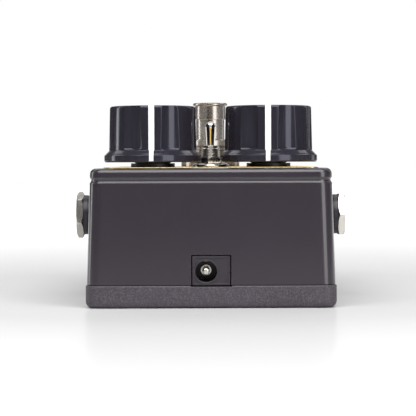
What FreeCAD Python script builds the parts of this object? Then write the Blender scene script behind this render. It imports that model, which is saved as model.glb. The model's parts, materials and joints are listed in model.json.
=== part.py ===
import FreeCAD, Part
import math
import os

# A two-knob guitar effects pedal with a mini toggle, a footswitch, two side jacks and a rear power socket.
# Millimetres. The origin is the middle of the underside. +X points to the right as seen from the rear,
# +Y from the rear (power socket) to the front (footswitch), +Z up.

# Enclosure
body_width_low = 72.8
body_width_high = 70.7
body_length_low = 120.0
body_length_high = 117.7
body_corner = 4.0
body_bottom = 6.6
body_top = 40.75
body_edge_round = 1.7
body_low_round = 0.3
wall = 2.2
roof = 2.7
groove_below_top = 3.5
groove_radius = 0.9
groove_depth = 0.4
groove_lip_round = 0.25
boss_radius = 4.0
boss_x = 29.6
boss_y = 54.0
boss_hole_radius = 1.5
boss_hole_depth = 14.0

# Base plate
plate_width = 73.4
plate_length = 121.0
plate_corner = 3.8
plate_floor = 2.4
plate_rim = 3.4
plate_low_round = 2.0
plate_top_round = 0.4
lip_height = 1.4
lip_thickness = 1.2
lip_gap = 0.25
screw_radius = 1.45
screw_head_radius = 2.9
screw_head_height = 1.8
screw_sink = 0.3
screw_length = 13.0
screw_hole_radius = 1.7
screw_slot = 0.8

# Faceplate
face_width = 63.0
face_length = 112.0
face_corner = 2.5
face_thickness = 0.5
face_recess = 0.25
panel = body_top - face_recess + face_thickness
roof_under = body_top - roof

# Controls on the panel
knob_x = 17.4
knob_y = -41.0
toggle_y = -31.5
led_y = -18.0
switch_y = 31.0

# Knob
knob_bottom = 42.5
skirt_radius = 14.65
skirt_rim = 2.2
skirt_slope = 1.3
knob_radius_low = 13.15
knob_radius_high = 12.85
knob_height = 16.75
knob_round = 0.6
flute_count = 7
flute_radius = 6.7
flute_depth = 1.1
flute_foot_round = 0.9
knob_cavity_radius = 11.3
knob_cavity_height = 3.8
hub_radius = 6.6
hub_cavity_height = 11.5
insert_radius = 4.5
insert_length = 10.0
grub_radius = 1.4
grub_length = 4.0
grub_height = 8.5
pointer_width = 1.7
pointer_skirt_width = 1.3
pointer_depth = 0.5
pointer_proud = 0.06
pointer_top_start = 3.5
right_knob_turn = -2.4

# Potentiometer
shaft_radius = 3.0
shaft_top = 55.6
pot_thread_radius = 3.5
pot_thread_pitch = 0.75
pot_thread_top = 45.0
pot_can_radius = 8.2
pot_can_height = 8.4
pot_plate = 1.2
pot_wafer = 1.6
pot_can_wall = 0.5
pot_washer_radius = 6.6
pot_washer_thickness = 1.2
pot_nut_width = 10.0
pot_nut_height = 2.1
terminal_pitch = 5.0

# Toggle
toggle_thread_radius = 3.0
toggle_thread_pitch = 0.75
toggle_bushing_height = 6.5
toggle_pivot_height = 4.5
toggle_tip_height = 13.9
toggle_throw = 25.0
toggle_ball_radius = 1.70
toggle_socket_radius = 1.75
toggle_washer_radius = 5.7
toggle_washer_thickness = 1.1
toggle_nut_width = 8.0
toggle_nut_height = 1.8
toggle_case_width = 6.9
toggle_case_length = 12.7
keyway_width = 1.0
keyway_depth = 0.6
keyway_length = 3.4

# Footswitch
switch_thread_radius = 6.0
switch_thread_pitch = 1.0
switch_bushing_top = 50.2
switch_collar = 2.0
plunger_radius = 4.85
head_radius = 5.25
head_bottom = 57.1
flange_radius = 5.9
flange_bottom = 61.8
switch_top = 62.7
switch_washer_radius = 10.0
switch_washer_thickness = 1.75
switch_nut_width = 14.0
switch_nut_height = 2.0
switch_body_size = 17.2
switch_body_bottom = 20.5
switch_cavity_radius = 5.8
switch_cavity_floor = 25.5
plunger_foot_radius = 5.4
plunger_foot_bottom = 33.0
plunger_foot_height = 1.5
spring_radius = 3.4
spring_wire = 0.35
spring_pitch = 1.7

# Side jacks
jack_y = -17.0
jack_z = 26.0
jack_face = 42.05
jack_nut_width = 12.7
jack_nut_thickness = 2.15
jack_gasket_radius = 6.2
jack_gasket_thickness = 1.3
jack_shim_radius = 6.0
jack_shim_thickness = 1.2
jack_pad_radius = 7.2
jack_thread_radius = 4.7
jack_thread_pitch = 0.8
jack_bore_radius = 3.25
jack_sleeve_inner = 29.5
jack_sleeve_outer = 41.7
jack_box_outer = 32.5
jack_box_inner = 8.0
jack_box_width = 17.0
jack_box_height = 18.0
jack_box_wall = 1.5
left_nut_turn = 11.7
right_nut_turn = 30.0

# Power socket
socket_width = 11.0
socket_gap = 0.32
socket_bottom = 6.7
socket_top = 15.2
socket_face = -59.6
socket_back = -46.0
socket_hole_x = -1.5
socket_hole_z = 10.64
socket_hole_radius = 3.12
socket_hole_depth = 9.5
socket_border = 0.55
socket_recess = 0.2
socket_rim = 0.45
socket_pin_radius = 1.05
socket_pin_collar = 1.6

# Boards
board_thickness = 1.6
main_board_bottom = 15.3
control_board_bottom = 27.4
lead_radius = 0.5

# Fits
running_fit = 0.05
thread_fit = 0.02
press_fit = 0.02
washer_fit = 0.1

up = FreeCAD.Vector(0, 0, 1)


def point(x, y, z):
    return FreeCAD.Vector(x, y, z)


def block(x0, x1, y0, y1, z0, z1):
    """A box between two opposite corners."""
    return Part.makeBox(x1 - x0, y1 - y0, z1 - z0, point(x0, y0, z0))


def rod(radius, z0, z1, x=0.0, y=0.0):
    """An upright cylinder."""
    return Part.makeCylinder(radius, z1 - z0, point(x, y, z0))


def tube(outer, inner, z0, z1, x=0.0, y=0.0):
    """An upright ring."""
    return rod(outer, z0, z1, x, y).cut(rod(inner, z0 - 1, z1 + 1, x, y))


def outline(width, length, corner, z):
    """A rounded rectangle centred on the origin at one height."""
    a = width / 2
    b = length / 2
    r = corner
    d = r * (1 - math.sqrt(0.5))
    corners = [
        (point(a - r, -b, z), point(a - d, -b + d, z), point(a, -b + r, z)),
        (point(a, b - r, z), point(a - d, b - d, z), point(a - r, b, z)),
        (point(-a + r, b, z), point(-a + d, b - d, z), point(-a, b - r, z)),
        (point(-a, -b + r, z), point(-a + d, -b + d, z), point(-a + r, -b, z)),
    ]
    edges = []
    for i, (start, middle, end) in enumerate(corners):
        edges.append(Part.Arc(start, middle, end).toShape())
        following = corners[(i + 1) % 4][0]
        edges.append(Part.makeLine(end, following))
    return Part.Wire(edges)


def slab(width, length, corner, z0, z1):
    """A plate with rounded corners and upright sides."""
    face = Part.Face(outline(width, length, corner, z0))
    return face.extrude(point(0, 0, z1 - z0))


def tapered(low, high, z0, z1):
    """A rounded block that tapers from one (width, length, corner) to another."""
    wires = [outline(*low, z0), outline(*high, z1)]
    return Part.makeLoft(wires, True, True)


def turned(profile):
    """A solid turned about Z from (radius, height) corners."""
    corners = [point(r, 0, z) for r, z in profile]
    face = Part.Face(Part.makePolygon(corners + corners[:1]))
    return face.revolve(point(0, 0, 0), up, 360)


def threaded_outline(radius, pitch, z0, z1):
    """The outer corners of a thread, drawn as a row of V grooves, from z0 up to z1."""
    depth = pitch * 0.42
    crest = pitch * 0.16
    turns = int((z1 - z0) / pitch)
    start = z0 + ((z1 - z0) - turns * pitch) / 2
    corners = [(radius - depth, z0)]
    for i in range(turns):
        z = start + i * pitch
        corners.append((radius - depth, z + crest / 2))
        corners.append((radius, z + pitch / 2 - crest / 2))
        corners.append((radius, z + pitch / 2 + crest / 2))
        corners.append((radius - depth, z + pitch - crest / 2))
    corners.append((radius - depth, z1))
    return corners


def hexagon(width, z0, z1, turn=0.0):
    """A hexagonal prism measured across its flats; at turn 0 one corner points along X."""
    radius = width / math.sqrt(3)
    corners = []
    for i in range(7):
        angle = math.radians(60 * i + turn)
        corners.append(point(radius * math.cos(angle), radius * math.sin(angle), z0))
    return Part.Face(Part.makePolygon(corners)).extrude(point(0, 0, z1 - z0))


def nut(width, bore, height, turn=0.0, bevel=0.45):
    """A hexagon nut standing on Z 0, its outer corners bevelled top and bottom."""
    radius = width / math.sqrt(3)
    barrel = turned([
        (bore, 0.0),
        (radius - bevel * 1.5, 0.0),
        (radius, bevel * 0.8),
        (radius, height - bevel * 0.8),
        (radius - bevel * 1.5, height),
        (bore, height),
    ])
    return barrel.common(hexagon(width, 0, height, turn))


def to_side(shape, side):
    """Lays a shape built along +Z so that it points out of one side, on the jack's axis."""
    laid = shape.copy()
    laid.rotate(point(0, 0, 0), point(0, 1, 0), 90 * side)
    laid.translate(point(0, jack_y, jack_z))
    return laid


def body_size(z, inset=0.0):
    """The enclosure's (width, length, corner) at one height, set in from its outside."""
    share = (z - body_bottom) / (body_top - body_bottom)
    width = body_width_low + (body_width_high - body_width_low) * share
    length = body_length_low + (body_length_high - body_length_low) * share
    return (width - 2 * inset, length - 2 * inset, body_corner - inset)


def boss_places():
    return [(sx * boss_x, sy * boss_y) for sx in (-1, 1) for sy in (-1, 1)]


def groove_cutter():
    """A round bead that runs round the enclosure's outside and leaves the groove."""
    middle = body_top - groove_below_top
    proud = groove_radius - groove_depth
    width, length, corner = body_size(middle, -proud)
    path = outline(width, length, corner, middle)
    start = path.Vertexes[0].Point
    section = Part.Wire(Part.makeCircle(groove_radius, start, point(1, 0, 0)))
    return path.makePipeShell([section], True, True)


def on_groove_lip(edge):
    """True for the two rings of edges where the groove meets the enclosure's side."""
    box = edge.BoundBox
    middle = body_top - groove_below_top
    return abs(box.Center.z - middle) < groove_radius and box.ZLength < 0.2 and box.DiagonalLength > 1.0


def rounded_shell():
    """The enclosure's outside: tapered, top and bottom edges rounded, with the rounded groove below the top."""
    shell = tapered(body_size(body_bottom), body_size(body_top), body_bottom, body_top)
    rim = [e for e in shell.Edges if e.BoundBox.ZMin > body_top - 0.01]
    shell = shell.makeFillet(body_edge_round, rim)
    foot = [e for e in shell.Edges if e.BoundBox.ZMax < body_bottom + 0.01]
    shell = shell.makeFillet(body_low_round, foot).cut(groove_cutter())
    lips = [e for e in shell.Edges if on_groove_lip(e)]
    return shell.makeFillet(groove_lip_round, lips)


def panel_holes():
    """Cutters for everything that passes through the top."""
    z0 = roof_under - 1
    z1 = panel + 1
    holes = [
        rod(pot_thread_radius + 0.15, z0, z1, -knob_x, knob_y),
        rod(pot_thread_radius + 0.15, z0, z1, knob_x, knob_y),
        rod(toggle_thread_radius + 0.15, z0, z1, 0, toggle_y),
        rod(3.35, z0, z1, 0, led_y),
        rod(switch_thread_radius + 0.2, z0, z1, 0, switch_y),
    ]
    return holes


def enclosure():
    shell = rounded_shell()
    hollow = tapered(
        body_size(body_bottom - 1, wall),
        body_size(roof_under, wall),
        body_bottom - 1,
        roof_under,
    )
    shell = shell.cut(hollow)
    blank = tapered(body_size(body_bottom, 0.5), body_size(roof_under + 1, 0.5), body_bottom, roof_under + 1)
    for x, y in boss_places():
        shell = shell.fuse(rod(boss_radius, body_bottom, roof_under + 1, x, y).common(blank))
    pad_top = jack_face - jack_nut_thickness - jack_gasket_thickness - jack_shim_thickness
    for side in (-1, 1):
        pad = Part.makeCylinder(jack_pad_radius, pad_top - (body_width_high / 2 - 1.2))
        pad.translate(point(0, 0, body_width_high / 2 - 1.2))
        shell = shell.fuse(to_side(pad, side))
    cutters = panel_holes()
    for x, y in boss_places():
        cutters.append(rod(boss_hole_radius, body_bottom - 1, body_bottom + boss_hole_depth, x, y))
    for side in (-1, 1):
        hole = Part.makeCylinder(jack_thread_radius + 0.25, 30, point(0, 0, 25))
        cutters.append(to_side(hole, side))
    half = socket_width / 2 + socket_gap
    cutters.append(block(-half, half, -70, -50, body_bottom - 1, socket_top + socket_gap))
    cutters.append(slab(face_width + 0.2, face_length + 0.2, face_corner, body_top - face_recess, body_top + 1))
    return shell.cut(cutters).removeSplitter()


def faceplate():
    plate = slab(face_width, face_length, face_corner, body_top - face_recess, panel)
    return plate.cut(panel_holes())


def base_plate():
    plate = slab(plate_width, plate_length, plate_corner, 0, body_bottom)
    low = [e for e in plate.Edges if e.BoundBox.ZMax < 0.01]
    plate = plate.makeFillet(plate_low_round, low)
    high = [e for e in plate.Edges if e.BoundBox.ZMin > body_bottom - 0.01]
    plate = plate.makeFillet(plate_top_round, high)
    inner_width = plate_width - 2 * plate_rim
    inner_length = plate_length - 2 * plate_rim
    plate = plate.cut(slab(inner_width, inner_length, 2.0, plate_floor, body_bottom + 1))
    lip_width, lip_length, _ = body_size(body_bottom, wall + lip_gap)
    lip = slab(lip_width, lip_length, 2.0, body_bottom - 1.5, body_bottom + lip_height)
    hole = slab(lip_width - 2 * lip_thickness, lip_length - 2 * lip_thickness, 1.5, 0, body_bottom + 3)
    lip = lip.cut(hole)
    lip = lip.cut(block(-8, 8, -60, -50, body_bottom, body_bottom + 3))
    for x, y in boss_places():
        lip = lip.cut(rod(boss_radius + 0.4, body_bottom, body_bottom + 3, x, y))
    plate = plate.fuse(lip)
    for x, y in boss_places():
        plate = plate.fuse(rod(boss_radius, plate_floor - 0.5, body_bottom, x, y))
    for x, y in boss_places():
        plate = plate.cut(rod(screw_hole_radius, -1, body_bottom + 1, x, y))
        sink = turned([
            (0, -0.01),
            (screw_head_radius + 0.15, -0.01),
            (screw_head_radius + 0.15, screw_sink),
            (screw_hole_radius, screw_sink + screw_head_height - 0.3),
            (0, screw_sink + screw_head_height - 0.3),
        ])
        sink.translate(point(x, y, 0))
        plate = plate.cut(sink)
    half = socket_width / 2 + socket_gap
    plate = plate.cut(block(-half - 0.2, half + 0.2, -62, -55, body_bottom - 0.3, body_bottom + 1))
    return plate.removeSplitter()


def base_screw():
    """A countersunk cross-head screw, its head just inside the underside."""
    neck = screw_sink + screw_head_height
    body = turned([
        (0, screw_sink),
        (screw_head_radius, screw_sink),
        (screw_radius, neck),
        (screw_radius, screw_sink + screw_length - 0.8),
        (0.7, screw_sink + screw_length),
        (0, screw_sink + screw_length),
    ])
    half = screw_slot / 2
    cross = block(-1.7, 1.7, -half, half, 0, screw_sink + 1.0)
    cross = cross.fuse(block(-half, half, -1.7, 1.7, 0, screw_sink + 1.0))
    return body.cut(cross)


def base_screws():
    screws = []
    for x, y in boss_places():
        screw = base_screw()
        screw.translate(point(x, y, 0))
        screws.append(screw)
    return Part.makeCompound(screws)


def knob_profile(grow):
    """The knob's outer corners as (radius, height), grown outwards by a little or shrunk."""
    return [
        (skirt_radius - 0.35 + grow, 0.0),
        (skirt_radius + grow, 0.35),
        (skirt_radius + grow, skirt_rim - 0.2),
        (skirt_radius - 0.25 + grow, skirt_rim + grow),
        (skirt_radius - 0.6 + grow, skirt_rim + 0.3 * skirt_slope + grow),
        (knob_radius_low + grow, skirt_rim + skirt_slope + grow),
        (knob_radius_high + grow, knob_height - knob_round + grow),
        (knob_radius_high - knob_round * 0.35 + grow, knob_height - knob_round * 0.3 + grow),
        (knob_radius_high - knob_round + grow, knob_height + grow),
    ]


def flutes():
    """The scallops between the knob's ribs, each rounded where it ends on the skirt."""
    cutters = []
    reach = knob_radius_low - flute_depth + flute_radius
    foot = skirt_rim + skirt_slope
    for i in range(flute_count):
        angle = 360 / flute_count * (i + 0.5) - 90
        flute = Part.makeCylinder(flute_radius, knob_height, point(reach, 0, foot))
        low = [e for e in flute.Edges if e.BoundBox.ZMax < foot + 0.01]
        flute = flute.makeFillet(flute_foot_round, low)
        flute.rotate(point(0, 0, 0), up, angle)
        cutters.append(flute)
    return cutters


def pointer():
    """The white line inlaid in the knob: across its top, down its side and over the skirt."""
    outer = turned(knob_profile(pointer_proud) + [(0, knob_height + pointer_proud), (0, 0.0)])
    inner = turned(knob_profile(-pointer_depth) + [(0, knob_height - pointer_depth), (0, -1.0)])
    band = outer.cut(inner).cut(rod(skirt_radius + 1, -1, 0.3))
    half = pointer_width / 2
    half_skirt = pointer_skirt_width / 2
    split = skirt_rim + skirt_slope
    strip = block(-half, half, -20, -pointer_top_start, split, knob_height + 1)
    strip = strip.fuse(block(-half_skirt, half_skirt, -20, -pointer_top_start, 0, split))
    return band.common(strip)


def knob():
    body = turned(knob_profile(0) + [(0, knob_height), (0, 0.0)])
    body = body.cut(flutes())
    body = body.cut(rod(knob_cavity_radius, -1, knob_cavity_height))
    body = body.cut(tube(knob_cavity_radius - 0.9, hub_radius, -1, hub_cavity_height))
    body = body.cut(rod(insert_radius, 0, knob_cavity_height + insert_length))
    access = Part.makeCylinder(grub_radius + 0.2, 20, point(0, 0, grub_height), point(0, 1, 0))
    body = body.cut(access)
    return body.cut(pointer())


def insert():
    """The brass bush pressed into the knob."""
    bush = tube(insert_radius, shaft_radius + press_fit, knob_cavity_height, knob_cavity_height + insert_length)
    hole = Part.makeCylinder(grub_radius + 0.05, 20, point(0, 0, grub_height), point(0, 1, 0))
    return bush.cut(hole)


def grub_screw():
    start = shaft_radius + 0.03
    screw = Part.makeCylinder(grub_radius, grub_length, point(0, start, grub_height), point(0, 1, 0))
    key = hexagon(1.3, 0, 2)
    key.rotate(point(0, 0, 0), point(1, 0, 0), -90)
    key.translate(point(0, start + grub_length - 1.5, grub_height))
    return screw.cut(key)


def place_knob_part(shape, side):
    placed = shape.copy()
    if side > 0:
        placed.rotate(point(0, 0, 0), up, right_knob_turn)
    placed.translate(point(side * knob_x, knob_y, knob_bottom))
    return placed


def pot_bushing():
    """The threaded bush and the round plate it stands on."""
    bore = shaft_radius + running_fit
    plate_bottom = roof_under - pot_plate
    profile = [(bore, plate_bottom), (pot_can_radius, plate_bottom), (pot_can_radius, roof_under)]
    profile += threaded_outline(pot_thread_radius, pot_thread_pitch, roof_under, pot_thread_top - 0.3)
    profile += [(pot_thread_radius - 0.5, pot_thread_top), (bore, pot_thread_top)]
    return turned(profile)


def pot_wafer_disc():
    """The board that carries the resistance track, with a tongue for the terminals."""
    top = roof_under - pot_plate
    disc = rod(pot_can_radius - 0.2, top - pot_wafer, top)
    disc = disc.fuse(block(-7.0, 7.0, -10.6, 0, top - pot_wafer, top))
    return disc.cut(rod(shaft_radius + 0.4, top - pot_wafer - 1, top + 1))


def pot_terminals():
    """Three lugs bent down from the tongue into the control board."""
    top = roof_under - pot_plate - pot_wafer
    lugs = []
    for i in (-1, 0, 1):
        x = i * terminal_pitch
        flat = block(x - 0.6, x + 0.6, -11.9, -8.7, top - 0.4, top)
        leg = block(x - 0.6, x + 0.6, -11.9, -11.5, control_board_bottom - 0.9, top)
        lugs.append(flat.fuse(leg))
    return Part.makeCompound(lugs)


def pot_cover():
    """The drawn can, held by two tabs up the sides of the plate."""
    top = roof_under - pot_plate - pot_wafer
    bottom = roof_under - pot_can_height
    can = rod(pot_can_radius, bottom, top)
    can = can.cut(rod(pot_can_radius - pot_can_wall, bottom + pot_can_wall, top + 1))
    tabs = tube(pot_can_radius + pot_can_wall, pot_can_radius, bottom + 2, roof_under - 0.3)
    band = block(-20, 20, -1.5, 1.5, bottom, roof_under)
    hoop = tube(pot_can_radius + 0.1, pot_can_radius - 0.1, bottom + 2, bottom + 3)
    return can.fuse(hoop).fuse(tabs.common(band)).removeSplitter()


def pot_shaft():
    step = roof_under - pot_plate - pot_wafer - 0.45
    return turned([
        (0, step - 1.6),
        (1.5, step - 1.6),
        (1.5, step),
        (shaft_radius, step),
        (shaft_radius, shaft_top - 0.5),
        (shaft_radius - 0.5, shaft_top),
        (0, shaft_top),
    ])


def pot_wiper():
    """The carrier under the shaft that slides on the track."""
    top = roof_under - pot_plate - pot_wafer - 0.45
    carrier = tube(5.6, 1.5, top - 1.4, top)
    return carrier.cut(block(-1.2, 1.2, 3.0, 6.0, top - 0.7, top + 1))


def place_pot_part(shape, side):
    placed = shape.copy()
    placed.translate(point(side * knob_x, knob_y, 0))
    return placed


def pot_washers():
    rings = []
    for side in (-1, 1):
        rings.append(tube(pot_washer_radius, pot_thread_radius + washer_fit, panel, panel + pot_washer_thickness,
                          side * knob_x, knob_y))
    return Part.makeCompound(rings)


def pot_nuts():
    nuts = []
    for side in (-1, 1):
        one = nut(pot_nut_width, pot_thread_radius + thread_fit, pot_nut_height, 8.0)
        one.translate(point(side * knob_x, knob_y, panel + pot_washer_thickness))
        nuts.append(one)
    return Part.makeCompound(nuts)


def toggle_bushing():
    """The threaded bush with its steel strap over the case."""
    top = panel + toggle_bushing_height
    pivot = panel + toggle_pivot_height
    strap = 0.5
    profile = threaded_outline(toggle_thread_radius, toggle_thread_pitch, roof_under - strap, top - 0.3)
    profile += [
        (toggle_thread_radius - 0.45, top),
        (toggle_socket_radius + 0.3, top),
        (toggle_socket_radius, pivot + 0.8),
        (toggle_socket_radius, pivot - 0.9),
        (toggle_socket_radius + 0.25, pivot - 1.2),
        (toggle_socket_radius + 0.25, panel),
        (2.6, panel - 1.2),
        (2.6, roof_under - strap),
    ]
    bush = turned(profile)
    half_x = toggle_case_width / 2
    half_y = toggle_case_length / 2
    plate = block(-half_x - strap, half_x + strap, -half_y, half_y, roof_under - strap, roof_under)
    plate = plate.cut(rod(2.6, roof_under - 1, roof_under + 1))
    bush = bush.fuse(plate)
    for side in (-1, 1):
        low = min(side * half_x, side * (half_x + strap))
        bush = bush.fuse(block(low, low + strap, -3.5, 3.5, roof_under - 6.5, roof_under))
    key = block(-keyway_width / 2, keyway_width / 2, -toggle_thread_radius - 1,
                -toggle_thread_radius + keyway_depth, top - keyway_length, top + 1)
    return bush.cut(key)


def toggle_case():
    half_x = toggle_case_width / 2
    half_y = toggle_case_length / 2
    top = roof_under - 0.5
    bottom = control_board_bottom + board_thickness
    case = block(-half_x, half_x, -half_y, half_y, bottom, top)
    case = case.cut(block(-1.6, 1.6, -3.6, 3.6, top - 3.5, top + 1))
    return case.cut(toggle_terminals().Solids)


def toggle_terminals():
    pins = []
    bottom = control_board_bottom - 1.0
    top = control_board_bottom + board_thickness + 1.5
    for y in (-4.7, 0, 4.7):
        pins.append(block(-0.6, 0.6, y - 0.4, y + 0.4, bottom, top))
    return Part.makeCompound(pins)


def toggle_lever():
    """The polished bat thrown to the rear, its ball held in the bush and its tail reaching into the case."""
    pivot = panel + toggle_pivot_height
    tip_radius = 1.55
    lean = math.radians(toggle_throw / 2)
    tip = pivot + (toggle_tip_height - toggle_pivot_height - tip_radius) / math.cos(lean) + tip_radius
    tail = panel - 4.1
    bat = turned([
        (0, tail),
        (0.5, tail),
        (0.5, pivot),
        (1.2, pivot),
        (1.25, pivot + 2.0),
        (tip_radius, tip - tip_radius),
        (0, tip - tip_radius),
    ])
    bat = bat.fuse(Part.makeSphere(tip_radius, point(0, 0, tip - tip_radius)))
    bat = bat.fuse(Part.makeSphere(toggle_ball_radius, point(0, 0, pivot)))
    bat.rotate(point(0, 0, pivot), point(1, 0, 0), toggle_throw / 2)
    return bat


def toggle_washer():
    """A dished washer with a rolled rim."""
    bore = toggle_thread_radius + washer_fit
    return turned([
        (bore, 0),
        (toggle_washer_radius, 0),
        (toggle_washer_radius, toggle_washer_thickness * 0.35),
        (toggle_washer_radius - 0.25, toggle_washer_thickness * 0.7),
        (toggle_washer_radius - 0.9, toggle_washer_thickness),
        (bore, toggle_washer_thickness),
    ])


def place_on_panel(shape, y, z):
    placed = shape.copy()
    placed.translate(point(0, y, z))
    return placed


def switch_bushing():
    """The footswitch's threaded bush, smooth at its top, on a square flange."""
    bore = plunger_radius + 0.06
    flange_top = roof_under - switch_nut_height
    collar = switch_bushing_top - switch_collar
    profile = [(bore, flange_top - 1.0), (8.0, flange_top - 1.0), (8.0, flange_top)]
    profile += threaded_outline(switch_thread_radius, switch_thread_pitch, flange_top, collar)
    profile += [
        (switch_thread_radius, collar),
        (switch_thread_radius, switch_bushing_top - 0.35),
        (switch_thread_radius - 0.35, switch_bushing_top),
        (bore + 0.2, switch_bushing_top),
        (bore, switch_bushing_top - 0.2),
    ]
    return turned(profile)


def switch_plunger():
    """The chromed push rod with its stepped head."""
    bottom = plunger_foot_bottom
    return turned([
        (0, bottom),
        (plunger_foot_radius, bottom),
        (plunger_foot_radius, bottom + plunger_foot_height),
        (plunger_radius, bottom + plunger_foot_height),
        (plunger_radius, head_bottom),
        (head_radius, head_bottom),
        (head_radius, flange_bottom - 0.2),
        (flange_radius, flange_bottom + 0.1),
        (flange_radius, switch_top - 0.35),
        (flange_radius - 0.35, switch_top),
        (0, switch_top),
    ])


def switch_body():
    half = switch_body_size / 2
    top = roof_under - switch_nut_height - 1.0
    body = block(-half, half, -half, half, switch_body_bottom, top)
    upright = []
    for edge in body.Edges:
        if edge.BoundBox.ZLength > 5:
            upright.append(edge)
    body = body.makeFillet(1.0, upright)
    return body.cut(rod(switch_cavity_radius, switch_cavity_floor, top + 1))


def switch_spring():
    """The return spring under the plunger: half turns, each in its own tilted plane, joined end to end."""
    half_rise = spring_pitch / 2
    half_chord = math.hypot(spring_radius, half_rise / 2)
    tilt = math.degrees(math.atan2(half_rise / 2, spring_radius))
    height = plunger_foot_bottom - switch_cavity_floor - 2 * spring_wire
    halves = int(height / half_rise)
    start = switch_cavity_floor + spring_wire
    coil = None
    for i in range(halves):
        section = Part.Face(Part.Wire(Part.makeCircle(spring_wire, point(half_chord, 0, 0), point(0, 1, 0))))
        half = section.revolve(point(0, 0, 0), up, 180)
        half.rotate(point(0, 0, 0), point(0, 1, 0), tilt)
        half.rotate(point(0, 0, 0), up, 180 * (i % 2))
        half.translate(point(0, 0, start + half_rise * (i + 0.5)))
        coil = half if coil is None else coil.fuse(half)
    return coil


def lug_places():
    return [(i * 5.2, j * 4.8) for j in (-1, 0, 1) for i in (-1, 0, 1)]


def switch_lugs():
    lugs = []
    for x, y in lug_places():
        lugs.append(block(x - 1.0, x + 1.0, y - 0.4, y + 0.4, switch_body_bottom - 4.5, switch_body_bottom))
    return Part.makeCompound(lugs)


def switch_nuts():
    """One nut under the roof sets the height, one above it clamps the washer."""
    inner = nut(switch_nut_width, switch_thread_radius + thread_fit, switch_nut_height, 15.0)
    outer = inner.copy()
    inner.translate(point(0, switch_y, roof_under - switch_nut_height))
    outer.translate(point(0, switch_y, panel + switch_washer_thickness))
    return Part.makeCompound([inner, outer])


def switch_leads():
    """Six leads from the footswitch's two rear rows of lugs, under the body, up through the main board."""
    leads = []
    bend = 3.0
    board_top = main_board_bottom + board_thickness
    for row, (low, end_y) in enumerate(((10.5, -6.5), (7.5, -9.0))):
        start_y = switch_y + (-4.8, 0.0)[row] - 0.4 - lead_radius
        for i in (-1, 0, 1):
            x = i * 5.2
            start = point(x, start_y, switch_body_bottom - 1.5)
            leads.append(bent_lead(start, low, end_y, board_top + 0.8, bend))
    return Part.makeCompound(leads)


def bent_lead(start, low, end_y, end_z, bend):
    """One round lead: down, back along Y, and up again, its bends tangent arcs."""
    x = start.x
    y = start.y
    diagonal = bend * math.sqrt(0.5)
    a = point(x, y, low + bend)
    b = point(x, y - bend, low)
    ab = point(x, y - bend + diagonal, low + bend - diagonal)
    c = point(x, end_y + bend, low)
    d = point(x, end_y, low + bend)
    cd = point(x, end_y + bend - diagonal, low + bend - diagonal)
    path = Part.Wire([
        Part.makeLine(start, a),
        Part.Arc(a, ab, b).toShape(),
        Part.makeLine(b, c),
        Part.Arc(c, cd, d).toShape(),
        Part.makeLine(d, point(x, end_y, end_z)),
    ])
    section = Part.Wire(Part.makeCircle(lead_radius, start, up))
    return path.makePipeShell([section], True, False)


def jack_sleeve():
    """The threaded tube a plug enters, with a flange inside the housing."""
    bore = jack_bore_radius
    front = jack_box_outer - jack_box_wall
    profile = [(bore, jack_sleeve_inner), (6.2, jack_sleeve_inner), (6.2, front)]
    profile += [(jack_thread_radius, front), (jack_thread_radius, jack_box_outer + 0.2)]
    profile += threaded_outline(jack_thread_radius, jack_thread_pitch, jack_box_outer + 0.3,
                                jack_sleeve_outer - 0.4)
    profile += [
        (jack_thread_radius - 0.4, jack_sleeve_outer),
        (bore, jack_sleeve_outer),
    ]
    return turned(profile)


def jack_housing():
    """The plastic box on the main board that the plug's tip reaches into, built on the +X side."""
    half = jack_box_width / 2
    bottom = main_board_bottom + board_thickness
    top = bottom + jack_box_height
    y0 = jack_y - half
    y1 = jack_y + half
    box = block(jack_box_inner, jack_box_outer, y0, y1, bottom, top)
    w = jack_box_wall
    box = box.cut(block(jack_box_inner + w, jack_box_outer - w, jack_y - 6.7, jack_y + 6.7,
                        bottom + w, top - w))
    neck = Part.makeCylinder(jack_thread_radius, 10, point(0, 0, jack_box_outer - 5))
    box = box.cut(to_side(neck, 1))
    for x in (13.0, 27.0):
        box = box.cut(block(x - 0.7, x + 0.7, jack_y - 2.2, jack_y + 2.2, bottom - 1, bottom + w + 1))
    return box


def jack_contacts():
    """The tip spring and the sleeve tab, both with tails through the main board, on the +X side."""
    w = jack_box_wall
    bottom = main_board_bottom + board_thickness
    top = bottom + jack_box_height - w
    tail = main_board_bottom - 0.9
    thick = 0.4
    profile = [
        point(12.8, 0, tail),
        point(13.2, 0, tail),
        point(13.2, 0, top - thick),
        point(19.0, 0, top - 3.6),
        point(22.0, 0, top - 1.8),
        point(22.0, 0, top - 1.8 + thick),
        point(19.0, 0, top - 3.6 + thick),
        point(13.6, 0, top),
        point(12.8, 0, top),
    ]
    face = Part.Face(Part.makePolygon(profile + profile[:1]))
    spring = face.extrude(point(0, 3.6, 0))
    spring.translate(point(0, jack_y - 1.8, 0))
    sleeve_tab = block(26.8, 27.2, jack_y - 1.8, jack_y + 1.8, tail, jack_z - 3.4)
    foot = block(27.2, jack_sleeve_inner, jack_y - 1.8, jack_y + 1.8, jack_z - 3.8, jack_z - 3.4)
    return Part.makeCompound([spring, sleeve_tab.fuse(foot)])


def jack_ring(outer, inner, start, thickness):
    rings = []
    for side in (-1, 1):
        rings.append(to_side(tube(outer, inner, start, start + thickness), side))
    return Part.makeCompound(rings)


def jack_nuts():
    nuts = []
    for side, turn in ((-1, left_nut_turn), (1, right_nut_turn)):
        one = nut(jack_nut_width, jack_thread_radius + thread_fit, jack_nut_thickness, turn, 0.6)
        one.translate(point(0, 0, jack_face - jack_nut_thickness))
        nuts.append(to_side(one, side))
    return Part.makeCompound(nuts)


def mirrored(shape):
    """The same piece on the other side."""
    return shape.mirror(point(0, 0, 0), point(1, 0, 0))


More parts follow.
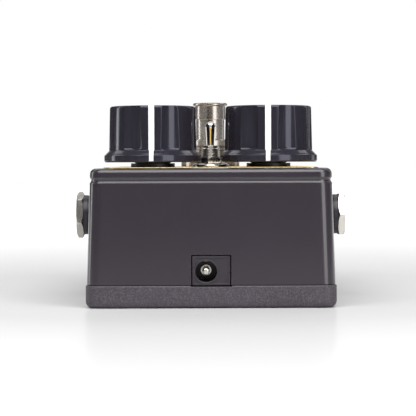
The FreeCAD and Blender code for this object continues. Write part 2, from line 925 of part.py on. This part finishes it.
def socket_housing():
    half = socket_width / 2
    housing = block(-half, half, socket_face, socket_back, socket_bottom, socket_top)
    barrel = Part.makeCylinder(socket_hole_radius, socket_hole_depth,
                               point(socket_hole_x, socket_face, socket_hole_z), point(0, 1, 0))
    shank = Part.makeCylinder(socket_pin_radius + press_fit, 30,
                              point(socket_hole_x, socket_face, socket_hole_z), point(0, 1, 0))
    slot = block(socket_hole_x - 1.1, socket_hole_x + 1.1, -57.0, socket_back - 0.6, 13.4, socket_top + 1)
    lead_in = Part.makeCone(socket_hole_radius + 0.15, socket_hole_radius, 0.15,
                            point(socket_hole_x, socket_face, socket_hole_z), point(0, 1, 0))
    border = socket_border
    panel_cut = block(-half + border, half - border, socket_face - 1, socket_face + socket_recess,
                      socket_bottom + border, socket_top - border)
    ring = Part.makeCylinder(socket_hole_radius + socket_rim, socket_recess + 2,
                             point(socket_hole_x, socket_face - 1, socket_hole_z), point(0, 1, 0))
    housing = housing.cut(panel_cut.cut(ring))
    return housing.cut([barrel, shank, slot, lead_in])


def socket_pin():
    """The centre pin with its collar and a tail into the main board."""
    tip = socket_face + 1.0
    floor = socket_face + socket_hole_depth
    pin = turned([
        (0, tip),
        (0.55, tip),
        (0.9, tip + 0.2),
        (socket_pin_radius, tip + 0.55),
        (socket_pin_radius, floor - 1.2),
        (socket_pin_collar, floor - 1.2),
        (socket_pin_collar, floor),
        (socket_pin_radius, floor),
        (socket_pin_radius, socket_back + 0.8),
        (0, socket_back + 0.8),
    ])
    pin.rotate(point(0, 0, 0), point(1, 0, 0), -90)
    pin = pin.mirror(point(0, 0, 0), point(0, 0, 1))
    pin.translate(point(socket_hole_x, 0, socket_hole_z))
    tail = block(socket_hole_x - 0.8, socket_hole_x + 0.8, socket_back + 0.2, socket_back + 0.8,
                 socket_hole_z, main_board_bottom + board_thickness + 1.0)
    return pin.fuse(tail)


def socket_contact():
    """The leaf that touches the outside of a plug."""
    x0 = socket_hole_x - 0.9
    x1 = socket_hole_x + 0.9
    leaf = block(x0, x1, -56.6, -47.2, 13.5, 13.9)
    tail = block(x0, x1, -47.6, -47.2, 13.5, main_board_bottom + board_thickness + 1.0)
    return leaf.fuse(tail)


def main_board():
    z0 = main_board_bottom
    z1 = z0 + board_thickness
    board = block(-31.3, 31.3, -48.5, -4.0, z0, z1)
    board = board.fuse(block(-24.5, 24.5, -56.4, -48.5, z0, z1))
    holes = [
        block(socket_hole_x - 1.1, socket_hole_x + 1.1, socket_back, socket_back + 1.0, z0 - 1, z1 + 1),
        block(socket_hole_x - 1.1, socket_hole_x + 1.1, -47.8, -47.0, z0 - 1, z1 + 1),
    ]
    for side in (-1, 1):
        for x in (13.0, 27.0):
            centre = side * x
            holes.append(block(centre - 0.5, centre + 0.5, jack_y - 2.0, jack_y + 2.0, z0 - 1, z1 + 1))
    for y in (-6.5, -9.0):
        for i in (-1, 0, 1):
            holes.append(rod(lead_radius + 0.1, z0 - 1, z1 + 1, i * 5.2, y))
    for x in header_pin_places():
        holes.append(rod(0.5, z0 - 1, z1 + 1, x, -42.0))
    return board.cut(holes).removeSplitter()


def control_board():
    z0 = control_board_bottom
    z1 = z0 + board_thickness
    board = block(-28.0, 28.0, -48.5, -26.1, z0, z1)
    board = board.fuse(block(-24.5, 24.5, -55.0, -48.5, z0, z1))
    board = board.fuse(block(-6.5, 6.5, -26.1, -14.5, z0, z1))
    holes = []
    for side in (-1, 1):
        for i in (-1, 0, 1):
            x = side * knob_x + i * terminal_pitch
            y = knob_y - 11.7
            holes.append(block(x - 0.8, x + 0.8, y - 0.4, y + 0.4, z0 - 1, z1 + 1))
    for y in (-4.7, 0, 4.7):
        holes.append(block(-0.8, 0.8, toggle_y + y - 0.6, toggle_y + y + 0.6, z0 - 1, z1 + 1))
    for x in (-1.27, 1.27):
        holes.append(rod(0.4, z0 - 1, z1 + 1, x, led_y))
    for x in header_pin_places():
        holes.append(rod(0.5, z0 - 1, z1 + 1, x, -42.0))
    return board.cut(holes).removeSplitter()


def header_pin_places():
    return [(i - 3.5) * 2.54 for i in range(8) if i not in (3, 4)]


def board_header():
    """Upright pins, with a plastic bar at each end, that join the two boards."""
    low = main_board_bottom + board_thickness
    high = control_board_bottom
    bars = []
    for z0, z1 in ((low, low + 2.5), (high - 2.5, high)):
        bars.append(block(-10.2, 10.2, -43.25, -40.75, z0, z1))
    pins = bars[0].fuse(bars[1])
    for x in header_pin_places():
        pins = pins.fuse(block(x - 0.3, x + 0.3, -42.3, -41.7, main_board_bottom - 1.2,
                               high + board_thickness + 0.4))
    return pins


def op_amps():
    """Two eight-pin chips."""
    seat = main_board_bottom + board_thickness
    chips = []
    for x in (-14.0, 14.0):
        y = -33.5
        chip = block(x - 4.8, x + 4.8, y - 3.2, y + 3.2, seat + 0.5, seat + 3.8)
        chip = chip.cut(rod(0.8, seat + 3.3, seat + 5, x - 4.4, y))
        for i in range(4):
            px = x + (i - 1.5) * 2.54
            for side in (-1, 1):
                low = min(side * 3.2, side * 3.9)
                chip = chip.fuse(block(px - 0.4, px + 0.4, y + low, y + low + 0.7, seat, seat + 2.2))
        chips.append(chip)
    return Part.makeCompound(chips)


def electrolytic_caps():
    seat = main_board_bottom + board_thickness
    cans = []
    for x, y in ((-27.0, -44.0), (-27.0, -34.0), (27.0, -44.0), (27.0, -34.0), (0.0, -20.0)):
        can = turned([
            (0, seat),
            (2.5, seat),
            (2.5, seat + 0.8),
            (2.3, seat + 1.0),
            (2.5, seat + 1.2),
            (2.5, seat + 7.6),
            (2.2, seat + 8.0),
            (0, seat + 8.0),
        ])
        can.translate(point(x, y, 0))
        cans.append(can)
    return Part.makeCompound(cans)


def resistors():
    """Axial resistors with their leads bent down to the board."""
    seat = main_board_bottom + board_thickness
    parts = []
    for i in range(8):
        side = -1 if i < 4 else 1
        x = side * (12.5 + 3.2 * (i % 4))
        body = turned([(0, -3.1), (0.9, -3.1), (1.15, -2.7), (1.15, -1.8), (0.95, -1.5), (0.95, 1.5),
                       (1.15, 1.8), (1.15, 2.7), (0.9, 3.1), (0, 3.1)])
        body.rotate(point(0, 0, 0), point(1, 0, 0), 90)
        body.translate(point(0, 0, 1.3))
        wire = Part.makeCylinder(0.3, 8.4, point(0, -4.2, 1.3), point(0, 1, 0))
        shape = body.fuse(wire)
        for y in (-4.2, 4.2):
            shape = shape.fuse(rod(0.3, 0, 1.3, 0, y))
            shape = shape.fuse(Part.makeSphere(0.3, point(0, y, 1.3)))
        shape.translate(point(x, -47.5, seat))
        parts.append(shape)
    return parts


def led():
    """The indicator lamp with its two legs."""
    base = panel - 4.6
    lens = turned([(0, base), (2.5, base), (2.5, panel + 0.6), (0, panel + 0.6)])
    lens = lens.fuse(Part.makeSphere(2.5, point(0, 0, panel + 0.6)))
    for x in (-1.27, 1.27):
        lens = lens.fuse(rod(0.25, control_board_bottom - 0.9, base + 0.5, x, 0))
    return lens


def led_bezel():
    return turned([
        (2.55, panel - 4.0),
        (3.2, panel - 4.0),
        (3.2, panel),
        (4.0, panel),
        (4.0, panel + 0.45),
        (3.6, panel + 0.9),
        (2.55, panel + 0.9),
    ])


def save(name, shape):
    shape.exportStep("parts/" + name + ".step")


def save_knobs():
    for name, side in (("left", -1), ("right", 1)):
        save("knob_" + name, place_knob_part(knob(), side))
        save("knob_" + name + "_pointer", place_knob_part(pointer(), side))
        save("knob_" + name + "_insert", place_knob_part(insert(), side))
        save("knob_" + name + "_set_screw", place_knob_part(grub_screw(), side))


def save_pots():
    for name, side in (("left", -1), ("right", 1)):
        save("pot_" + name + "_bushing", place_pot_part(pot_bushing(), side))
        save("pot_" + name + "_wafer", place_pot_part(pot_wafer_disc(), side))
        save("pot_" + name + "_terminals", place_pot_part(pot_terminals(), side))
        save("pot_" + name + "_cover", place_pot_part(pot_cover(), side))
        save("pot_" + name + "_shaft", place_pot_part(pot_shaft(), side))
        save("pot_" + name + "_wiper", place_pot_part(pot_wiper(), side))
    save("pot_washers", pot_washers())
    save("pot_nuts", pot_nuts())


def save_toggle():
    washer_top = panel + toggle_washer_thickness
    save("toggle_bushing", place_on_panel(toggle_bushing(), toggle_y, 0))
    save("toggle_case", place_on_panel(toggle_case(), toggle_y, 0))
    save("toggle_terminals", place_on_panel(toggle_terminals(), toggle_y, 0))
    save("toggle_lever", place_on_panel(toggle_lever(), toggle_y, 0))
    save("toggle_washer", place_on_panel(toggle_washer(), toggle_y, panel))
    toggle_nut = nut(toggle_nut_width, toggle_thread_radius + thread_fit, toggle_nut_height, 20.0, 0.3)
    save("toggle_nut", place_on_panel(toggle_nut, toggle_y, washer_top))


def save_footswitch():
    save("footswitch_bushing", place_on_panel(switch_bushing(), switch_y, 0))
    save("footswitch_plunger", place_on_panel(switch_plunger(), switch_y, 0))
    save("footswitch_body", place_on_panel(switch_body(), switch_y, 0))
    save("footswitch_spring", place_on_panel(switch_spring(), switch_y, 0))
    save("footswitch_lugs", place_on_panel(switch_lugs(), switch_y, 0))
    washer = tube(switch_washer_radius, switch_thread_radius + 0.15, panel, panel + switch_washer_thickness)
    save("footswitch_washer", place_on_panel(washer, switch_y, 0))
    save("footswitch_nuts", switch_nuts())
    save("footswitch_leads", switch_leads())


def save_jacks():
    for name, side in (("left", -1), ("right", 1)):
        save("jack_" + name + "_sleeve", to_side(jack_sleeve(), side))
        housing = jack_housing()
        contacts = jack_contacts()
        if side < 0:
            housing = mirrored(housing)
            contacts = mirrored(contacts)
        save("jack_" + name + "_housing", housing)
        save("jack_" + name + "_contacts", contacts)
    nut_start = jack_face - jack_nut_thickness
    gasket_start = nut_start - jack_gasket_thickness
    shim_start = gasket_start - jack_shim_thickness
    bore = jack_thread_radius + 0.1
    save("jack_gaskets", jack_ring(jack_gasket_radius, bore, gasket_start, jack_gasket_thickness))
    save("jack_shims", jack_ring(jack_shim_radius, bore, shim_start, jack_shim_thickness))
    save("jack_nuts", jack_nuts())


def save_inside():
    save("dc_jack_housing", socket_housing())
    save("dc_jack_pin", socket_pin())
    save("dc_jack_contact", socket_contact())
    save("main_board", main_board())
    save("control_board", control_board())
    save("board_header", board_header())
    save("op_amps", op_amps())
    save("electrolytic_caps", electrolytic_caps())
    save("resistors", Part.makeCompound(resistors()))
    save("led", place_on_panel(led(), led_y, 0))
    save("led_bezel", place_on_panel(led_bezel(), led_y, 0))


def main():
    os.makedirs("parts", exist_ok=True)
    save("enclosure", enclosure())
    save("faceplate", faceplate())
    save("base_plate", base_plate())
    save("base_screws", base_screws())
    save_knobs()
    save_pots()
    save_toggle()
    save_footswitch()
    save_jacks()
    save_inside()


main()
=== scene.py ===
import json
import math

import bpy
from mathutils import Matrix, Vector


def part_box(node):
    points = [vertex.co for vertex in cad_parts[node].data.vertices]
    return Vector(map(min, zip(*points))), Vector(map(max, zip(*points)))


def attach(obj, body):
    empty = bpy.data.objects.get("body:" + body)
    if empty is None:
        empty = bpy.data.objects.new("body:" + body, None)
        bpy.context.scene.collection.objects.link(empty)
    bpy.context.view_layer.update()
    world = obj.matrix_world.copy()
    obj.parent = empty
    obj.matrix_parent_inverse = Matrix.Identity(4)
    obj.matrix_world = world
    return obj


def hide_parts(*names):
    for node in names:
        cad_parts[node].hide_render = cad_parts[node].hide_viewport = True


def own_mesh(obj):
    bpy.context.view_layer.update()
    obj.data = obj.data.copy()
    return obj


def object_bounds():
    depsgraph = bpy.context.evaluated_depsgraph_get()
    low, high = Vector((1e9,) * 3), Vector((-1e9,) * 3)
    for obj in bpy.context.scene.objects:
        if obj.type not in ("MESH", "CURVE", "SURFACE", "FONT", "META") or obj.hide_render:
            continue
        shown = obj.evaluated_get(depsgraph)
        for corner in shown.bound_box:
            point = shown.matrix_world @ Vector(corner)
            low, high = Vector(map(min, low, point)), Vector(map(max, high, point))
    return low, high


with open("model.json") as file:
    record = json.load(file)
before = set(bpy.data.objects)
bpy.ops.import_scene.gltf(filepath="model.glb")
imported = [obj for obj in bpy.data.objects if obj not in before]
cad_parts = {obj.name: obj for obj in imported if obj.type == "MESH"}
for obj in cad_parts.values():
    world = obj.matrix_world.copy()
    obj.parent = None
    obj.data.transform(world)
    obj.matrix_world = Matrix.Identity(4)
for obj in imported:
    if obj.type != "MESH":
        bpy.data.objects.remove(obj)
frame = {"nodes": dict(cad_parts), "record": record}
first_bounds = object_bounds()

nodes = frame["nodes"]

# The floor: how far it reaches each way, its own light far from the object, and how glossy it is.
REACH = 2.5
FLOOR_GLOW = 1.0
FLOOR_WHITE = 0.64
FLOOR_GLOSS = 0.20
FLOOR_GLOSS_ROUGHNESS = 0.22
GLOW_START = 0.10
GLOW_FULL = 0.70

# The room's light at the horizon and from above, and of the bright patch beyond the front of the object.
ROOM_LOW = 0.05
ROOM_HIGH = 0.20
ROOM_PATCH = 0.9

# The camera: its lens, the degrees it is tipped down and rolled, and how far it stands back from the
# rear wall, to the side and above the panel.
CAMERA_LENS = 143.3
CAMERA_DOWN = 1.612
CAMERA_ROLL = -0.22
CAMERA_BACK = 0.480
CAMERA_SIDE = -0.00086
CAMERA_ABOVE = 0.0017

EDGE_SAMPLES = 8


# ---------------------------------------------------------------- node helpers

def ramp(tree, value, low_in, high_in, low_out, high_out):
    """The value carried over from one range to another, held at its ends."""
    node = tree.nodes.new("ShaderNodeMapRange")
    node.inputs["From Min"].default_value = low_in
    node.inputs["From Max"].default_value = high_in
    node.inputs["To Min"].default_value = low_out
    node.inputs["To Max"].default_value = high_out
    tree.links.new(value, node.inputs["Value"])
    return node.outputs[0]


def larger(tree, a, b):
    """The larger of two values."""
    node = tree.nodes.new("ShaderNodeMath")
    node.operation = "MAXIMUM"
    tree.links.new(a, node.inputs[0])
    tree.links.new(b, node.inputs[1])
    return node.outputs[0]


class Graph:
    """A material's node tree, with short calls for the nodes used below."""

    def __init__(self, name):
        self.material = bpy.data.materials.new(name)
        self.material.use_nodes = True
        self.tree = self.material.node_tree
        self.tree.nodes.clear()
        self.output = self.tree.nodes.new("ShaderNodeOutputMaterial")
        self.shader = self.tree.nodes.new("ShaderNodeBsdfPrincipled")
        self.tree.links.new(self.shader.outputs[0], self.output.inputs["Surface"])
        self.place = self.tree.nodes.new("ShaderNodeTexCoord").outputs["Object"]

    def link(self, source, target):
        self.tree.links.new(source, target)

    def set(self, **values):
        """Sets constants on the shader, with underscores in place of spaces."""
        for name, value in values.items():
            self.shader.inputs[name.replace("_", " ")].default_value = value

    def scaled(self, x, y, z):
        """The object coordinates stretched along each axis."""
        node = self.tree.nodes.new("ShaderNodeMapping")
        node.inputs["Scale"].default_value = (x, y, z)
        self.link(self.place, node.inputs["Vector"])
        return node.outputs[0]

    def noise(self, scale, detail=4.0, rough=0.55, vector=None):
        node = self.tree.nodes.new("ShaderNodeTexNoise")
        node.inputs["Scale"].default_value = scale
        node.inputs["Detail"].default_value = detail
        node.inputs["Roughness"].default_value = rough
        self.link(vector or self.place, node.inputs["Vector"])
        return node.outputs["Fac"]

    def remap(self, value, low_in, high_in, low_out, high_out):
        return ramp(self.tree, value, low_in, high_in, low_out, high_out)

    def math(self, operation, a, b):
        node = self.tree.nodes.new("ShaderNodeMath")
        node.operation = operation
        for socket, value in zip(node.inputs, (a, b)):
            if isinstance(value, (int, float)):
                socket.default_value = value
            else:
                self.link(value, socket)
        return node.outputs[0]

    def mix(self, factor, a, b):
        """Mixes two colours, each a tuple or a socket."""
        node = self.tree.nodes.new("ShaderNodeMix")
        node.data_type = "RGBA"
        for socket, value in ((node.inputs[0], factor), (node.inputs[6], a), (node.inputs[7], b)):
            if isinstance(value, tuple):
                socket.default_value = (*value, 1.0)
            elif isinstance(value, (int, float)):
                socket.default_value = value
            else:
                self.link(value, socket)
        return node.outputs[2]

    def edge(self, radius):
        """The normal of the surface with its edges rounded off by this radius."""
        node = self.tree.nodes.new("ShaderNodeBevel")
        node.samples = EDGE_SAMPLES
        node.inputs["Radius"].default_value = radius
        return node.outputs["Normal"]

    def edge_mask(self, radius):
        """White on edges and corners, black on flat surfaces."""
        slight_turn, full_turn = 0.002, 0.12
        smooth = self.edge(radius)
        plain = self.tree.nodes.new("ShaderNodeNewGeometry").outputs["Normal"]
        dot = self.tree.nodes.new("ShaderNodeVectorMath")
        dot.operation = "DOT_PRODUCT"
        self.link(smooth, dot.inputs[0])
        self.link(plain, dot.inputs[1])
        return self.remap(dot.outputs["Value"], 1.0 - slight_turn, 1.0 - full_turn, 0.0, 1.0)

    def bump(self, height, strength, distance, normal=None):
        node = self.tree.nodes.new("ShaderNodeBump")
        node.inputs["Strength"].default_value = strength
        node.inputs["Distance"].default_value = distance
        self.link(height, node.inputs["Height"])
        if normal is not None:
            self.link(normal, node.inputs["Normal"])
        return node.outputs[0]

    def use(self, **sockets):
        """Feeds sockets into the shader, with underscores in place of spaces."""
        for name, source in sockets.items():
            self.link(source, self.shader.inputs[name.replace("_", " ")])


# ---------------------------------------------------------------- materials

def body_paint():
    """Satin black enamel over a casting: slight orange peel and rubbed edges."""
    g = Graph("body_paint")
    tone = g.remap(g.noise(45, 3), 0.3, 0.7, 0.0, 1.0)
    paint = g.mix(tone, (0.0205, 0.0146, 0.0224), (0.0228, 0.0163, 0.0250))
    rubbed = g.remap(g.noise(900, 5, 0.7), 0.52, 0.75, 0.0, 0.5)
    worn = g.math("MULTIPLY", g.edge_mask(0.0007), rubbed)
    g.use(Base_Color=g.mix(worn, paint, (0.11, 0.10, 0.11)))
    g.use(Roughness=g.remap(g.noise(260, 5), 0.3, 0.7, 0.36, 0.44))
    peel = g.noise(1500, 2)
    g.use(Normal=g.bump(peel, 0.10, 0.00004, g.edge(0.0003)))
    g.set(Specular_IOR_Level=0.25, Coat_Weight=1.0, Coat_Roughness=0.15, Coat_IOR=1.52)
    return g.material


def base_paint():
    """Fine-textured black paint."""
    g = Graph("base_paint")
    tone = g.remap(g.noise(60, 3), 0.3, 0.7, 0.0, 1.0)
    speck = g.remap(g.noise(2600, 3, 0.6), 0.45, 0.70, 0.0, 1.0)
    paint = g.mix(tone, (0.044, 0.037, 0.047), (0.054, 0.045, 0.057))
    paint = g.mix(g.math("MULTIPLY", speck, 0.7), paint, (0.14, 0.122, 0.145))
    rubbed = g.remap(g.noise(1100, 5, 0.7), 0.5, 0.75, 0.0, 0.5)
    worn = g.math("MULTIPLY", g.edge_mask(0.0008), rubbed)
    g.use(Base_Color=g.mix(worn, paint, (0.16, 0.15, 0.16)))
    g.use(Roughness=g.remap(g.noise(700, 4), 0.3, 0.7, 0.42, 0.56))
    grain = g.math("ADD", g.noise(3200, 3, 0.6), g.math("MULTIPLY", g.noise(1300, 3), 0.6))
    g.use(Normal=g.bump(grain, 0.55, 0.00012, g.edge(0.00035)))
    g.set(Specular_IOR_Level=0.45)
    return g.material


def gold_sheet():
    """Gold brushed sheet: fine lines along its length, with faint smudges."""
    g = Graph("gold_sheet")
    lines = g.noise(900, 4, 0.6, g.scaled(1.0, 0.02, 1.0))
    smudge = g.noise(60, 4)
    g.use(Base_Color=g.mix(g.remap(lines, 0.3, 0.7, 0.0, 1.0), (0.74, 0.50, 0.13), (0.86, 0.62, 0.20)))
    rough = g.math("ADD", g.remap(lines, 0.3, 0.7, 0.24, 0.34), g.remap(smudge, 0.4, 0.7, 0.0, 0.08))
    g.use(Roughness=rough)
    g.use(Normal=g.bump(lines, 0.04, 0.00002, g.edge(0.0002)))
    g.set(Metallic=1.0)
    return g.material


def knob_plastic():
    """Polished black phenolic with flow marks, hairline scratches and a little dust."""
    g = Graph("knob_plastic")
    flow = g.noise(220, 4, 0.6, g.scaled(1.0, 1.0, 0.25))
    dust = g.remap(g.noise(2600, 3, 0.65), 0.66, 0.8, 0.0, 0.25)
    base = g.mix(g.remap(flow, 0.3, 0.7, 0.0, 1.0), (0.0175, 0.0155, 0.0220), (0.0225, 0.0200, 0.0280))
    g.use(Base_Color=g.mix(dust, base, (0.05, 0.05, 0.052)))
    hairs = g.noise(1800, 2, 0.5, g.scaled(1.0, 1.0, 0.06))
    g.use(Roughness=g.remap(hairs, 0.35, 0.7, 0.10, 0.20))
    g.use(Normal=g.bump(flow, 0.05, 0.00006, g.edge(0.00035)))
    g.set(Specular_IOR_Level=0.5, Specular_Tint=(0.80, 0.83, 1.0, 1.0))
    return g.material


def pointer_white():
    """White filling enamel, slightly uneven."""
    g = Graph("pointer_white")
    cloud = g.noise(700, 4)
    g.use(Base_Color=g.mix(g.remap(cloud, 0.35, 0.7, 0.0, 1.0), (0.90, 0.90, 0.89), (0.80, 0.80, 0.78)))
    g.use(Roughness=g.remap(g.noise(1500, 3), 0.3, 0.7, 0.32, 0.45))
    g.use(Normal=g.bump(cloud, 0.12, 0.00004))
    return g.material


def metal(name, dark, light, low, high, edge=0.00012, spots=0.0):
    """A plated or plain metal: tone and roughness vary with a fine grain, and edges catch the light."""
    g = Graph(name)
    grain = g.noise(1600, 4, 0.6)
    haze = g.noise(240, 4)
    tone = g.math("ADD", g.math("MULTIPLY", grain, 0.6), g.math("MULTIPLY", haze, 0.4))
    colour = g.mix(g.remap(tone, 0.3, 0.7, 0.0, 1.0), dark, light)
    if spots:
        pits = g.remap(g.noise(2300, 5, 0.7), 0.60, 0.72, 0.0, spots)
        colour = g.mix(pits, colour, tuple(c * 0.35 for c in dark))
    g.use(Base_Color=colour)
    g.use(Roughness=g.remap(tone, 0.3, 0.7, low, high))
    g.use(Normal=g.bump(grain, 0.08, 0.00002, g.edge(edge)))
    g.set(Metallic=1.0)
    return g.material


def matte(name, dark, light, low, high):
    """A plain moulded or coated surface with soft mottling."""
    g = Graph(name)
    cloud = g.noise(900, 4, 0.6)
    g.use(Base_Color=g.mix(g.remap(cloud, 0.3, 0.7, 0.0, 1.0), dark, light))
    g.use(Roughness=g.remap(g.noise(1800, 3), 0.3, 0.7, low, high))
    g.use(Normal=g.bump(cloud, 0.15, 0.00005, g.edge(0.00015)))
    return g.material


def red_lens():
    """Tinted lens moulding."""
    g = Graph("red_lens")
    swirl = g.remap(g.noise(500, 3), 0.3, 0.7, 0.0, 1.0)
    g.use(Base_Color=g.mix(swirl, (0.36, 0.010, 0.008), (0.48, 0.020, 0.014)))
    g.use(Roughness=g.remap(g.noise(1500, 3), 0.3, 0.7, 0.08, 0.16))
    g.set(Transmission_Weight=0.35, IOR=1.5)
    return g.material


def materials():
    """The material for each slot of the record."""
    nickel_dark, nickel_light = (0.60, 0.575, 0.53), (0.74, 0.715, 0.67)
    satin_dark, satin_light = (0.32, 0.29, 0.265), (0.45, 0.415, 0.385)
    plastic_dark, plastic_light = (0.024, 0.019, 0.026), (0.034, 0.027, 0.037)
    return {
        "body_paint": body_paint(),
        "base_paint": base_paint(),
        "gold_sheet": gold_sheet(),
        "knob_plastic": knob_plastic(),
        "pointer_white": pointer_white(),
        "brass": metal("brass", (0.55, 0.38, 0.14), (0.70, 0.50, 0.22), 0.22, 0.36),
        "black_steel": metal("black_steel", (0.03, 0.03, 0.032), (0.06, 0.06, 0.062), 0.35, 0.5),
        "nickel": metal("nickel", nickel_dark, nickel_light, 0.18, 0.30, edge=0.00015),
        "chrome": metal("chrome", (0.66, 0.64, 0.61), (0.78, 0.76, 0.73), 0.06, 0.13, edge=0.0002),
        "satin_nickel": metal("satin_nickel", satin_dark, satin_light, 0.22, 0.32, spots=0.25),
        "tinned_steel": metal("tinned_steel", (0.5, 0.5, 0.48), (0.62, 0.62, 0.6), 0.3, 0.45),
        "aluminium": metal("aluminium", (0.62, 0.62, 0.63), (0.75, 0.75, 0.76), 0.28, 0.4),
        "phenolic": matte("phenolic", (0.16, 0.07, 0.03), (0.24, 0.12, 0.05), 0.45, 0.6),
        "black_plastic": matte("black_plastic", plastic_dark, plastic_light, 0.34, 0.46),
        "board_green": matte("board_green", (0.008, 0.07, 0.03), (0.012, 0.10, 0.045), 0.25, 0.4),
        "resistor_body": matte("resistor_body", (0.40, 0.28, 0.16), (0.50, 0.36, 0.22), 0.4, 0.55),
        "red_lens": red_lens(),
        "lead_insulation": matte("lead_insulation", (0.30, 0.02, 0.015), (0.40, 0.03, 0.02), 0.4, 0.55),
    }


def dress(table):
    """Gives each CAD node the material of its slot."""
    for entry in frame["record"]["subparts"]:
        piece = nodes[entry["node"]]
        piece.data.materials.clear()
        piece.data.materials.append(table[entry["material_slot"]])


def pressed_spring():
    """A copy of the footswitch's spring, attached to the housing in place of the CAD node, which is
    hidden.
    """
    cad = nodes["footswitch_spring"]
    spring = bpy.data.objects.new("pressed_spring", cad.data.copy())
    bpy.context.scene.collection.objects.link(spring)
    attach(spring, "housing")
    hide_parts("footswitch_spring")
    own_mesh(spring)


# ---------------------------------------------------------------- the set

def softbox(name, size_x, size_y, place, target, strength):
    """A rectangular lamp that faces a target and never shows itself to the camera."""
    lamp = bpy.data.lights.new(name, "AREA")
    lamp.shape = "RECTANGLE"
    lamp.size = size_x
    lamp.size_y = size_y
    lamp.energy = strength
    holder = bpy.data.objects.new(name, lamp)
    bpy.context.scene.collection.objects.link(holder)
    holder.location = place
    holder.rotation_euler = (Vector(target) - Vector(place)).to_track_quat("-Z", "Y").to_euler()
    holder.visible_camera = False


def around(angle, elevation, distance):
    """A place at this distance, turned from the rear (-Y) towards +X, and raised."""
    turn, rise = math.radians(angle), math.radians(elevation)
    flat = distance * math.cos(rise)
    return (flat * math.sin(turn), -flat * math.cos(turn), distance * math.sin(rise))


def floor_material():
    """White acrylic with a faint blurred reflection, plus a painted glow that grows with distance from
    the object and is absent near it.
    """
    material = bpy.data.materials.new("floor_white")
    material.use_nodes = True
    tree = material.node_tree
    tree.nodes.clear()
    # Painted glow: the floor gives off light of its own, none near the object and full far from it, so
    # the floor near the object is left darker.
    glow = tree.nodes.new("ShaderNodeEmission")
    reach = tree.nodes.new("ShaderNodeVectorMath")
    reach.operation = "LENGTH"
    tree.links.new(tree.nodes.new("ShaderNodeTexCoord").outputs["Object"], reach.inputs[0])
    fade = ramp(tree, reach.outputs["Value"], GLOW_START, GLOW_FULL, 0.0, FLOOR_GLOW)
    tree.links.new(fade, glow.inputs["Strength"])
    chalk = tree.nodes.new("ShaderNodeBsdfDiffuse")
    chalk.inputs["Color"].default_value = (FLOOR_WHITE, FLOOR_WHITE, FLOOR_WHITE, 1.0)
    gloss = tree.nodes.new("ShaderNodeBsdfGlossy")
    gloss.inputs["Roughness"].default_value = FLOOR_GLOSS_ROUGHNESS
    layers = tree.nodes.new("ShaderNodeMixShader")
    layers.inputs["Fac"].default_value = FLOOR_GLOSS
    tree.links.new(chalk.outputs[0], layers.inputs[1])
    tree.links.new(gloss.outputs[0], layers.inputs[2])
    total = tree.nodes.new("ShaderNodeAddShader")
    tree.links.new(layers.outputs[0], total.inputs[0])
    tree.links.new(glow.outputs[0], total.inputs[1])
    tree.links.new(total.outputs[0], tree.nodes.new("ShaderNodeOutputMaterial").inputs["Surface"])
    return material


def build_floor():
    """A square floor at the height of the underside."""
    low = first_bounds[0].z
    mesh = bpy.data.meshes.new("floor")
    outline = ((-REACH, -REACH), (REACH, -REACH), (REACH, REACH), (-REACH, REACH))
    corners = [(x, y, low) for x, y in outline]
    mesh.from_pydata(corners, [], [(0, 1, 2, 3)])
    mesh.materials.append(floor_material())
    floor = bpy.data.objects.new("floor", mesh)
    bpy.context.scene.collection.objects.link(floor)


def build_room():
    """A dim room with one bright patch beyond the front; the camera itself sees only white."""
    world = bpy.data.worlds.new("room")
    world.use_nodes = True
    tree = world.node_tree
    tree.nodes.clear()
    direction = tree.nodes.new("ShaderNodeSeparateXYZ")
    tree.links.new(tree.nodes.new("ShaderNodeTexCoord").outputs["Generated"], direction.inputs[0])
    patch = ramp(tree, direction.outputs["Y"], 0.90, 0.97, 0.0, ROOM_PATCH)
    above = ramp(tree, direction.outputs["Z"], 0.0, 0.8, ROOM_LOW, ROOM_HIGH)
    camera_ray = tree.nodes.new("ShaderNodeLightPath").outputs["Is Camera Ray"]
    seen = larger(tree, camera_ray, larger(tree, patch, above))
    background = tree.nodes.new("ShaderNodeBackground")
    background.inputs["Color"].default_value = (1.0, 1.0, 1.0, 1.0)
    tree.links.new(seen, background.inputs["Strength"])
    tree.links.new(background.outputs[0], tree.nodes.new("ShaderNodeOutputWorld").inputs["Surface"])
    bpy.context.scene.world = world


def build_lights():
    """Soft lamps above the rear and the front, and at the corners. Angles are as in around()."""
    middle = (0.0, 0.0, 0.03)
    softbox("top_rear", 1.1, 0.66, around(0, 60, 0.8), middle, 9.5)
    softbox("top_front", 1.1, 0.30, around(180, 55, 0.8), middle, 1.6)
    softbox("left_strip", 0.14, 0.7, around(-102, 12, 0.8), middle, 1.3)
    softbox("right_strip", 0.16, 0.7, around(125, 12, 0.8), middle, 0.35)
    softbox("right_soft", 0.42, 0.6, around(36, 15, 0.9), middle, 2.6)


def build_camera():
    """Level with the top panel, looking at the rear wall, tipped down and rolled slightly."""
    view = bpy.data.cameras.new("camera")
    view.lens = CAMERA_LENS
    view.sensor_width = 36.0
    view.clip_start = 0.01
    view.clip_end = 20.0
    holder = bpy.data.objects.new("camera", view)
    rear_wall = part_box("enclosure")[0].y
    panel_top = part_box("faceplate")[1].z
    holder.location = (CAMERA_SIDE, rear_wall - CAMERA_BACK, panel_top + CAMERA_ABOVE)
    tip = Matrix.Rotation(math.radians(90.0 - CAMERA_DOWN), 4, "X")
    roll = Matrix.Rotation(math.radians(CAMERA_ROLL), 4, "Z")
    holder.rotation_euler = (tip @ roll).to_euler()
    bpy.context.scene.collection.objects.link(holder)
    bpy.context.scene.camera = holder


def colour_management():
    """Colours are shown as they are rendered, with no film look."""
    scene = bpy.context.scene
    scene.view_settings.view_transform = "Standard"
    scene.view_settings.look = "None"
    scene.view_settings.exposure = 0.0


dress(materials())
pressed_spring()
build_floor()
build_room()
build_lights()
build_camera()
colour_management()
